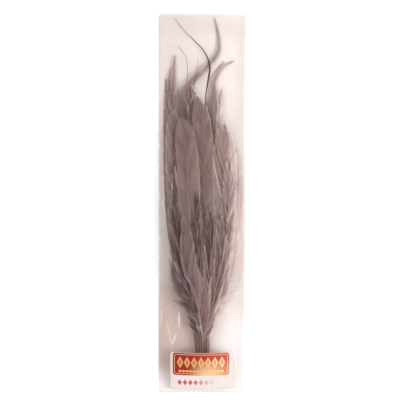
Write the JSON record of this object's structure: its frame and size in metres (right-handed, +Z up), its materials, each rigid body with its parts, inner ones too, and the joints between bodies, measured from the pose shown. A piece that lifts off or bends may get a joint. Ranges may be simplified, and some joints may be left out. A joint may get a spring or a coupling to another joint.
{
  "type": "rooster schlappen",
  "caption": "Tied bunch of long webby rooster tail feathers lying flat in a clear sleeve with a folded flap and a label card over the quills.",
  "frame": {"origin": "middle of the sleeve's outline, on the surface that it lies on", "axes": "+X to the right and +Y from the quills to the feather tips, as seen from above, +Z up from the surface"},
  "size_m": [0.076, 0.326, 0.0206],
  "materials": {
    "feather_dark": "matt, dyed dark taupe barbs",
    "feather_taupe": "soft satin, taupe barbs with a lighter shaft",
    "feather_pale": "matt, pale grey-pink down and barbs",
    "thread": "matt twisted cotton",
    "card": "smooth coated card with a red panel",
    "film": "clear glossy film, soft wrinkles"
  },
  "bodies": {
    "root": {"feather_01": "feather_taupe", "feather_02": "feather_taupe", "feather_03": "feather_pale", "feather_04": "feather_pale", "feather_05": "feather_taupe", "feather_06": "feather_taupe", "feather_07": "feather_pale", "feather_08": "feather_pale", "feather_09": "feather_pale", "feather_10": "feather_taupe", "feather_11": "feather_taupe", "feather_12": "feather_taupe", "feather_13": "feather_pale", "feather_14": "feather_taupe", "feather_15": "feather_dark", "feather_16": "feather_taupe", "feather_17": "feather_pale", "feather_18": "feather_taupe", "feather_19": "feather_taupe", "feather_20": "feather_pale", "feather_21": "feather_dark", "feather_22": "feather_taupe", "feather_23": "feather_taupe", "feather_24": "feather_dark", "feather_25": "feather_taupe", "feather_26": "feather_taupe", "feather_27": "feather_pale", "feather_28": "feather_taupe", "quill_thread": "thread", "label_card": "card", "film_sleeve": "film"}
  },
  "joints": []
}
